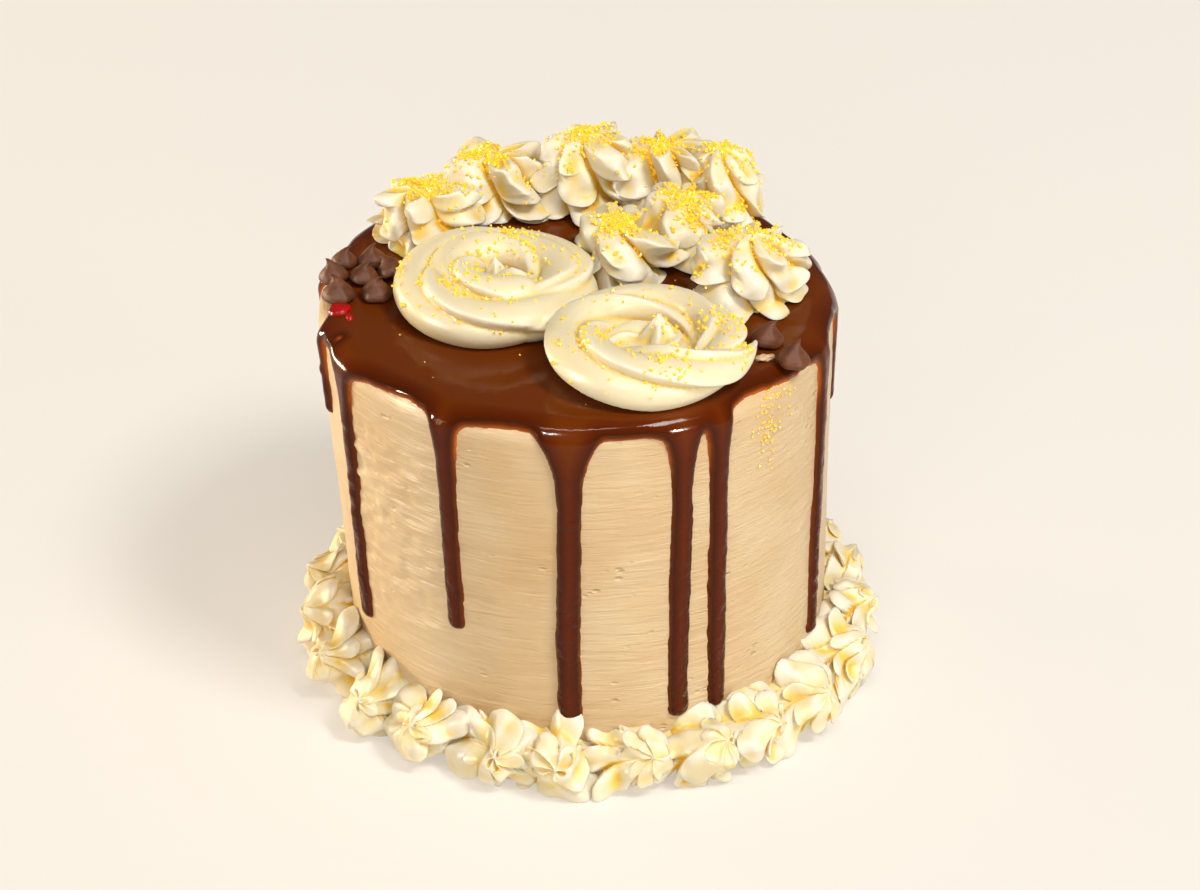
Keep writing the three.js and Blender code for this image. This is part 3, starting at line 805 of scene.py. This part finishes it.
BORDER_SEED = 5
BORDER_FROM = 0.42  # the first burst's place, as a share of the pitch past the front
BORDER_CLEAR = 0.4  # from the wall to a burst's root
BORDER_ROOT_Z = (9.0, 10.4)
BORDER_ROOT_SIDE = (-1.6, 1.6)
BORDER_RISE = (14, 28)  # degrees above level
BORDER_ASIDE = (0.0, 0.3)
BORDER_BEND = (2.0, 7.0)
BORDER_SAG = (-5.0, 0.0)
BORDER_WIDE = (15.8, 17.2)
BORDER_HIGH = (15.5, 17.5)
BORDER_LOBES = (6, 7)
BORDER_TIERS = (2.2, 2.8)
BORDER_FINS = (0.9, 1.1)
BORDER_TWIST = (0.8, 1.8)
BORDER_DIP = 2.0
# The painted groove shade that a burst's flat ground takes.
BORDER_SHADE_FLAT = 0.26
GROUND = 0.02
# The bursts at the left and right point up more, are longer and sag less.
FLANK_RISE = 13
FLANK_HIGH = 6.0
FLANK_SAG = 0.7


def border_star(index, draw):
    """A burst of cream against the foot of the wall, pulled off low and to one side."""
    heading = math.radians((index + BORDER_FROM) * 360 / BORDER_COUNT)
    outward = np.array([math.sin(heading), -math.cos(heading), 0])
    sideways = np.array([math.cos(heading), math.sin(heading), 0])
    upward = np.array([0, 0, 1.0])
    flank = abs(outward[0])
    rise = math.tan(math.radians(draw.uniform(*BORDER_RISE) + FLANK_RISE * flank))
    axis = outward + rise * upward + draw.uniform(*BORDER_ASIDE) * sideways
    axis = axis / np.linalg.norm(axis)
    right = np.cross(upward, axis)
    right = right / np.linalg.norm(right)
    over = np.cross(axis, right)
    root = outward * (BODY_FOOT_R + BORDER_CLEAR) + upward * draw.uniform(*BORDER_ROOT_Z)
    root = root + sideways * draw.uniform(*BORDER_ROOT_SIDE)
    bend = (draw.uniform(*BORDER_BEND), draw.uniform(*BORDER_SAG) * (1 - FLANK_SAG * flank))
    wide = draw.uniform(*BORDER_WIDE)
    high = draw.uniform(*BORDER_HIGH) + FLANK_HIGH * flank
    star = dict(lobes=draw.choice(BORDER_LOBES), tiers=draw.choice(BORDER_TIERS),
                fins=draw.uniform(*BORDER_FINS), twist=draw.uniform(*BORDER_TWIST), dip=BORDER_DIP)
    points, faces = drop_star(wide, high, bend, draw, **star, **BURST_STYLE)
    points = root + points[:, :1] * right + points[:, 1:2] * over + points[:, 2:] * axis
    drop = np.maximum(root[2] - points[:, 2], 1e-6)
    to_ground = np.minimum(1, (root[2] - GROUND) / drop)
    points = root + (points - root) * to_ground[:, None]
    burst = mesh_object(f"cream_border_{index + 1:02d}", points, faces, CREAM)
    return with_painted_groove_shade(burst, flat=BORDER_SHADE_FLAT)


# -------- rosettes
ROPE_STEPS = 460
ROPE_SECTIONS = 120
ROPE_TALL = 0.86  # height of a rope's section as a share of its width
ROPE_LIP = 0.84
ROPE_FLAT = 0.62
ROPE_BLUR = 13  # steps over which a rope's stations are smoothed
SPIRE_ROWS = 60
SPIRE_SECTIONS = 130
SPIRE_LIP = 0.62
SPIRE_FLAT = 0.75
PEAK = dict(lobes=5, depth=0.45, twist=-0.8, phase=0.4, bend=(-1.0, -0.5), belly=1.7)
# A low mound closes the floor of a rosette between its ropes.
MOUND = dict(lobes=6, depth=0.05, twist=0, phase=0, bend=(0, 0), belly=4)
MOUND_LOW = 0.2
MOUND_HIGH = 6.2
MOUND_SHARE = 0.7
ROSETTE_VOXEL = 0.55
ROSETTE_SMOOTHING = 1
# The painted groove shade that a rosette's flat ground takes.
ROSETTE_SHADE_FLAT = 0.24


def pleat(phi, lobes, depth, lip, flat):
    """Rim of a star nozzle: broad flat lobes with a lip, parted by deep narrow grooves."""
    p = (phi * lobes / TAU) % 1
    swell = np.clip(p / lip, 0, 1) ** flat
    drop = np.clip((1 - p) / (1 - lip), 0, 1) ** flat
    return 1 - depth + depth * np.minimum(swell, drop)


def rope(angle, radius, z, thick, lobes, depth, phase):
    """A lobed rope along a spiral about the upright axis; the nozzle keeps its heading."""
    phi = np.arange(ROPE_SECTIONS) * TAU / ROPE_SECTIONS
    A, P = np.meshgrid(angle, phi, indexing="ij")
    size = thick[:, None] * pleat(P + A + phase[:, None], -lobes, depth, ROPE_LIP, ROPE_FLAT)
    out = radius[:, None] + size * np.cos(P)
    up = z[:, None] + size * np.sin(P) * ROPE_TALL
    rings = np.stack([out * np.cos(A), out * np.sin(A), up], -1)
    first = [radius[0] * math.cos(angle[0]), radius[0] * math.sin(angle[0]), z[0]]
    last = [radius[-1] * math.cos(angle[-1]), radius[-1] * math.sin(angle[-1]), z[-1]]
    return tube(rings[:, ::-1], first, last)


def spire(low, high, wide, lobes, depth, twist, phase, bend, belly):
    """A pleated cone pulled up to a point, twisting as it rises."""
    t = np.linspace(0, 1, SPIRE_ROWS)
    phi = np.arange(SPIRE_SECTIONS) * TAU / SPIRE_SECTIONS
    T, P = np.meshgrid(t, phi, indexing="ij")
    size = wide * np.clip(1 - T ** belly, 0, 1) + 0.3
    size = size * pleat(P + phase + twist * T, lobes, depth, SPIRE_LIP, SPIRE_FLAT)
    rings = np.stack([size * np.cos(P) + bend[0] * T ** 2, size * np.sin(P) + bend[1] * T ** 2,
                      mix(low, high, T)], -1)
    return tube(rings, [0, 0, low], [bend[0], bend[1], high + 0.3])


def floor_at(parts, low):
    return [(np.stack([p[:, 0], p[:, 1], np.maximum(p[:, 2], low)], 1), f) for p, f in parts]


def moved(parts, offset):
    return [(p + np.array(offset), f) for p, f in parts]


def blurred(values):
    even = np.ones(ROPE_BLUR) / ROPE_BLUR
    return np.convolve(np.pad(values, ROPE_BLUR // 2, "edge"), even, "valid")


def rosette(name, spec):
    parts = []
    for cord in spec["ropes"]:
        lap = np.linspace(0, cord["laps"][-1], ROPE_STEPS)
        angle = math.radians(cord["end"]) - TAU * (lap[-1] - lap)
        radius, size, z = (blurred(np.interp(lap, cord["laps"], cord[key]))
                           for key in ("path", "rope", "rise"))
        phase = cord["phase"] + 0.1 * np.sin(2 * angle + 1)
        parts.append(rope(angle, radius, z, size, cord["lobes"], cord["depth"], phase))
    peak = spec["peak"]
    parts += moved([spire(peak["low"], peak["high"], peak["wide"], **PEAK)], (*peak["at"], 0))
    parts.append(spire(MOUND_LOW, MOUND_HIGH, spec["radius"] * MOUND_SHARE, **MOUND))
    parts = moved(floor_at(parts, 0.0), (spec["x"], spec["y"], PIPING_Z))
    skin = remeshed("cream_" + name, parts, ROSETTE_VOXEL, ROSETTE_SMOOTHING, CREAM)
    return with_painted_groove_shade(skin, flat=ROSETTE_SHADE_FLAT)


# -------- chocolate chips
CHIP_ROWS = 40
CHIP_COLUMNS = 48
CHIP_OUTLINE = ([0, 0.03, 0.1, 0.2, 0.34, 0.48, 0.6, 0.72, 0.82, 0.92, 1],
                [0.84, 0.96, 1.0, 0.98, 0.87, 0.67, 0.46, 0.29, 0.18, 0.1, 0.015])
CHIP_FLUTES = 6
CHIP_FLUTE_DEPTH = 0.04
CHIP_CREASE = 0.3
CHIP_CREASE_WIDTH = 0.28
CHIP_CURL = 2.4
CHIP_CURL_FROM = 0.6
CHIP_DROOP = 0.12
CHIP_DROOP_FROM = 0.75
CHIP_CELLS = 16
CHIP_NOISE_SEED = 60
CHIP_UNEVEN = 0.02
CHIP_LIFT = 0.8


def chip(index, spec):
    """A drop of chocolate, its tip pulled over to one side into a small curl."""
    phi = np.arange(CHIP_COLUMNS) * TAU / CHIP_COLUMNS
    T, P = np.meshgrid(np.linspace(0, 1, CHIP_ROWS), phi, indexing="ij")
    off_crease = np.sin((P - spec["curl"] + 0.5) / 2) / CHIP_CREASE_WIDTH
    crease = CHIP_CREASE * smooth(0.3, 0.9, T) * np.exp(-(off_crease ** 2))
    flute = 1 + CHIP_FLUTE_DEPTH * np.cos(CHIP_FLUTES * P + 1.5 * T) * (1 - T) - crease
    uneven = soft_noise(P / TAU * CHIP_CELLS, T * 5, index + CHIP_NOISE_SEED, across=CHIP_CELLS)
    flute = flute + CHIP_UNEVEN * uneven
    size = np.interp(T, *CHIP_OUTLINE) * CHIP_R * spec["scale"] * flute
    curl = np.clip((T - CHIP_CURL_FROM) / (1 - CHIP_CURL_FROM), 0, 1) ** 1.6 * CHIP_CURL
    x = size * np.cos(P) + curl * math.cos(spec["curl"])
    y = size * np.sin(P) + curl * math.sin(spec["curl"])
    droop = CHIP_DROOP * np.clip((T - CHIP_DROOP_FROM) / (1 - CHIP_DROOP_FROM), 0, 1) ** 2
    rings = np.stack([x, y, CHIP_HEIGHT * spec["scale"] * (T - droop)], -1)
    points, faces = tube(rings, [0, 0, 0], rings[-1].mean(0))
    tilt, towards = math.radians(spec["tilt"]), math.radians(spec["towards"])
    axis = Vector((-math.sin(towards), math.cos(towards), 0))
    turn = np.array(Matrix.Rotation(tilt, 3, axis))
    lift = math.sin(tilt) * CHIP_R * spec["scale"] * CHIP_LIFT
    points = points @ turn.T + np.array([spec["x"], spec["y"], GANACHE_TOP + lift])
    return mesh_object(f"chocolate_chip_{index + 1}", points, faces, CHIP)


# -------- jelly smear and crumb
SMEAR_RINGS = 12
SMEAR_SECTIONS = 40
SMEAR_LOBES = 2
SMEAR_LIFT = 2.1  # from the frosting up to the ganache that a smear lies on
SMEAR_EDGE_SINK = 0.5
JELLY_SMEARS = {
    "red_jelly": dict(degrees=-80, s=-0.9, size=(3.3, 3.8), tall=1.6, wobble=1),
    "red_jelly_drop": dict(degrees=-75.5, s=-2.6, size=(1.8, 1.4), tall=1.1, wobble=2),
}
CRUMB_ROWS = 14
CRUMB_SECTIONS = 24
CRUMB_PLACE = (52, -41, GANACHE_TOP + 1.0)
CRUMB_SIZE = (3.4, 1.1, 0.9)
CRUMB_TURN = -70
CRUMB_WOBBLE = 3


def smear(name, degrees, s, size, tall, wobble):
    """A low blob lying on the cake's outline, `size` in millimetres round and down the cake."""
    rho, phi = np.linspace(0, 1, SMEAR_RINGS), np.arange(SMEAR_SECTIONS) * TAU / SMEAR_SECTIONS
    R, P = np.meshgrid(rho, phi, indexing="ij")
    edge = 1 + 0.14 * np.sin(SMEAR_LOBES * P + wobble) + 0.05 * np.sin((SMEAR_LOBES + 1) * P)
    height = SMEAR_LIFT + tall * np.sqrt(1 - R ** 2) - SMEAR_EDGE_SINK * (R == 1)
    radius, z = outline(s + R * edge * size[1] * np.sin(P), height)
    turn = degrees + np.degrees(R * edge * size[0] * np.cos(P) / BODY_TOP_R)
    points = around(radius, turn, z).reshape(-1, 3)
    return mesh_object(name, points, grid_faces(SMEAR_RINGS, SMEAR_SECTIONS), JELLY)


def crumb():
    """A torn bit of frosting."""
    phi, w = np.arange(CRUMB_SECTIONS) * TAU / CRUMB_SECTIONS, np.linspace(-1, 1, CRUMB_ROWS)
    W, P = np.meshgrid(w, phi, indexing="ij")
    ragged = 1 + 0.3 * np.sin(3 * P + 4 * W + CRUMB_WOBBLE) + 0.2 * np.sin(7 * P - 5 * W)
    ring = np.sqrt(np.clip(1 - W ** 2, 0, 1)) * ragged
    length, width, height = CRUMB_SIZE
    rings = np.stack([ring * np.cos(P) * width, W * length, ring * np.sin(P) * height], -1)
    points, faces = tube(rings, rings[0].mean(0), rings[-1].mean(0))
    turn = np.array(Matrix.Rotation(math.radians(CRUMB_TURN), 3, "Z"))
    return mesh_object("crumb", points @ turn.T + np.array(CRUMB_PLACE), faces, FROSTING)


# -------- gold sugar
SUGAR_SEED = 17
# On each piece of cream the grains gather in clumps.
SWIRL_SUGAR = dict(count=430, clumps=6, spread=4.0)
ROSETTE_SUGAR = dict(count=330, clumps=7, spread=4.5)
SUGAR_ANYWHERE = 0.12  # chance of a grain away from the clumps, against 1 in their middle
CREAM_GRAINS = (0.8, 1.7)
# Some fell on the wall at the right, about places given as (degrees, s).
WALL_SUGAR = [dict(count=60, centre=(47, 16), spread=(2.5, 6)),
              dict(count=30, centre=(52, 6), spread=(2.5, 3))]
WALL_GRAINS = (0.6, 1.1)  # size in millimetres, as for the others
POOL_SUGAR = 70
POOL_SUGAR_RADII = (20, 72)
POOL_GRAINS = (0.4, 0.9)
GRAIN_CORNERS = [(1, 0, 0), (-1, 0, 0), (0, 1, 0), (0, -1, 0), (0, 0, 1), (0, 0, -1)]
GRAIN_FACES = [(0, 2, 4), (2, 1, 4), (1, 3, 4), (3, 0, 4), (2, 0, 5), (1, 2, 5), (3, 1, 5), (0, 3, 5)]


def grain(draw, place, normal, size):
    """The corners of one crystal, lying on a surface."""
    shape = np.array(GRAIN_CORNERS, float) * draw.uniform(0.7, 1.15, (len(GRAIN_CORNERS), 1)) * size * 0.5
    spin = np.linalg.qr(draw.normal(size=(3, 3)))[0]
    return shape @ spin + place + normal * size * 0.22


def strewn(draw, count, centre, spread):
    return np.array(centre) + draw.normal(size=(count, 2)) * np.array(spread)


def cream_grains(draw, obj, count, clumps, spread):
    """Grains on one piece of cream, most of them high up, in hollows and near a few hearts."""
    points, normals, edges = mesh_arrays(obj)
    hollow = hollowness(points, normals, edges)
    above = np.clip((points[:, 2] - PIPING_Z) / (points[:, 2].max() - PIPING_Z), 0, 1)
    facing_up = np.clip(normals[:, 2] + 0.3, 0, 1) ** 1.4
    weight = facing_up * (0.35 + 2 * np.clip(hollow - 0.3, 0, 0.7)) * above ** 0.9
    hearts = points[draw.choice(len(points), size=clumps, p=weight / weight.sum())]
    near = sum(np.exp(-((points - heart) ** 2).sum(1) / (2 * spread ** 2)) for heart in hearts)
    weight = weight * (SUGAR_ANYWHERE + near)
    grains = []
    for i in draw.choice(len(points), size=count, p=weight / weight.sum()):
        place = points[i] + draw.normal(size=3) * 0.2
        grains.append(grain(draw, place, normals[i], draw.uniform(*CREAM_GRAINS)))
    return grains


def sugar(piped):
    draw = np.random.default_rng(SUGAR_SEED)
    grains = []
    for obj, share in piped:
        grains += cream_grains(draw, obj, **share)
    for degrees, s in np.concatenate([strewn(draw, **patch) for patch in WALL_SUGAR]):
        radius, z = outline(s, 0.2)
        place = around(radius, degrees, z)
        grains.append(grain(draw, place, np.array([0, -0.5, 0.5]), draw.uniform(*WALL_GRAINS)))
    strays = np.stack([draw.uniform(0, 360, POOL_SUGAR), draw.uniform(*POOL_SUGAR_RADII, POOL_SUGAR)], 1)
    for degrees, out in strays:
        place = around(out, degrees, GANACHE_TOP - 0.1)
        grains.append(grain(draw, place, np.array([0, 0, 1]), draw.uniform(*POOL_GRAINS)))
    points = np.concatenate(grains)
    faces = [tuple(len(GRAIN_CORNERS) * g + i for i in f) for g in range(len(grains)) for f in GRAIN_FACES]
    return mesh_object("gold_sugar", points, faces, SUGAR, smooth_shade=False)


# -------- stage, light, camera
FLOOR_HALF = 4000
WORLD_COLOUR = (1.0, 0.96, 0.9)
WORLD_STRENGTH = 0.15
WHITE = (1.0, 0.98, 0.95)
# Places, targets and sizes in millimetres, power in watts. A light that isn't mirrored leaves no
# glint, and one that isn't lighting leaves nothing but its glint.
LIGHTS = [
    dict(name="key", place=(1300, -1100, 2500), target=(0, 0, 80), size=(700, 700), power=61,
         colour=WHITE),
    dict(name="fill", place=(-300, -2200, 1400), target=(0, 0, 60), size=(1500, 1000), power=18,
         colour=(1.0, 0.97, 0.94), mirrored=False),
    dict(name="right", place=(1900, -1300, 450), target=(0, 0, 60), size=(500, 700), power=13,
         colour=(1.0, 0.99, 0.98), mirrored=False),
    dict(name="left", place=(-1300, 600, 90), target=(-60, -40, 70), size=(420, 140), power=20,
         colour=(1.0, 0.8, 0.5)),
    dict(name="left_front", place=(-1500, -1000, 350), target=(0, 0, 70), size=(40, 600), power=3,
         colour=(1.0, 0.72, 0.36)),
    dict(name="rim", place=(0, -700, 1500), target=(0, 0, 130), size=(700, 60), power=5, colour=WHITE),
    dict(name="spark", place=(-420, -1500, 1500), target=(0, 0, 100), size=(60, 60), power=26,
         colour=WHITE, lighting=False),
    dict(name="spark_left", place=(-1300, -500, 420), target=(0, 0, 80), size=(60, 200), power=34,
         colour=(1.0, 0.86, 0.66), lighting=False),
    dict(name="spark_right", place=(1100, -1200, 620), target=(0, 0, 80), size=(60, 200), power=24,
         colour=(1.0, 0.95, 0.88), lighting=False),
]
CAMERA_PLACE = Vector((2.6, -1274.9, 858.0))
CAMERA_PITCH = math.radians(31.5418)
CAMERA_ROLL = math.radians(0.53246)
CAMERA_NEAR = 50
CAMERA_FAR = 50000
FOCAL_PIXELS = 4758.96
IMAGE_WIDTH = 1200
SENSOR = 36.0


def stage():
    corners = [(-1, -1, 0), (1, -1, 0), (1, 1, 0), (-1, 1, 0)]
    floor = mesh_object("floor", np.array(corners) * FLOOR_HALF, [(0, 1, 2, 3)], floor_material())


def area_light(name, place, target, size, power, colour, mirrored=True, lighting=True):
    data = bpy.data.lights.new(name, "AREA")
    data.shape = "RECTANGLE"
    data.size, data.size_y = size[0] * MM, size[1] * MM
    data.energy = power
    data.color = colour
    light = bpy.data.objects.new(name, data)
    light.location = Vector(place) * MM
    light.rotation_euler = (Vector(target) - Vector(place)).to_track_quat("-Z", "Y").to_euler()
    light.visible_glossy = mirrored
    light.visible_diffuse = lighting
    bpy.context.scene.collection.objects.link(light)


def lights():
    world = bpy.data.worlds.new("studio")
    world.use_nodes = True
    sky = world.node_tree.nodes["Background"]
    sky.inputs["Color"].default_value = (*WORLD_COLOUR, 1)
    sky.inputs["Strength"].default_value = WORLD_STRENGTH
    bpy.context.scene.world = world
    for light in LIGHTS:
        area_light(**light)


def camera():
    data = bpy.data.cameras.new("camera")
    data.sensor_fit = "HORIZONTAL"
    data.sensor_width = SENSOR
    data.lens = FOCAL_PIXELS * SENSOR / IMAGE_WIDTH
    data.clip_start = CAMERA_NEAR * MM
    data.clip_end = CAMERA_FAR * MM
    forward = Vector((0, math.cos(CAMERA_PITCH), -math.sin(CAMERA_PITCH)))
    right = Vector((1, 0, 0))
    up = right.cross(forward)
    turned_right = right * math.cos(CAMERA_ROLL) + up * math.sin(CAMERA_ROLL)
    turned_up = -right * math.sin(CAMERA_ROLL) + up * math.cos(CAMERA_ROLL)
    rotation = Matrix((turned_right, turned_up, -forward)).transposed()
    obj = bpy.data.objects.new("camera", data)
    obj.matrix_world = Matrix.Translation(CAMERA_PLACE * MM) @ rotation.to_4x4()
    bpy.context.scene.collection.objects.link(obj)
    bpy.context.scene.camera = obj


# -------- the cake
def dress(obj, node):
    """Puts a piece on the cake, in place of a solid where it stands for one."""
    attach(obj, "root")
    if node:
        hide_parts(node)


bpy.context.scene.view_settings.view_transform = "Standard"
camera()
lights()
stage()
dress(frosted_body(), "cake_body")
dress(ganache_sheet(), "ganache")
piped = []
swirl_draw = random.Random(SWIRL_SEED)
for name, spec in SWIRLS.items():
    swirl = small_swirl(name, spec, swirl_draw)
    dress(swirl, name)
    piped.append((swirl, SWIRL_SUGAR))
for name, spec in ROSETTES.items():
    large = rosette(name, spec)
    dress(large, name)
    piped.append((large, ROSETTE_SUGAR))
border_draw = random.Random(BORDER_SEED)
for i in range(BORDER_COUNT):
    dress(border_star(i, border_draw), f"border_star_{i + 1:02d}")
for i, spec in enumerate(CHIPS):
    dress(chip(i, spec), f"chip_{i + 1}")
dress(sugar(piped), None)
for name, spec in JELLY_SMEARS.items():
    dress(smear(name, **spec), None)
dress(crumb(), None)
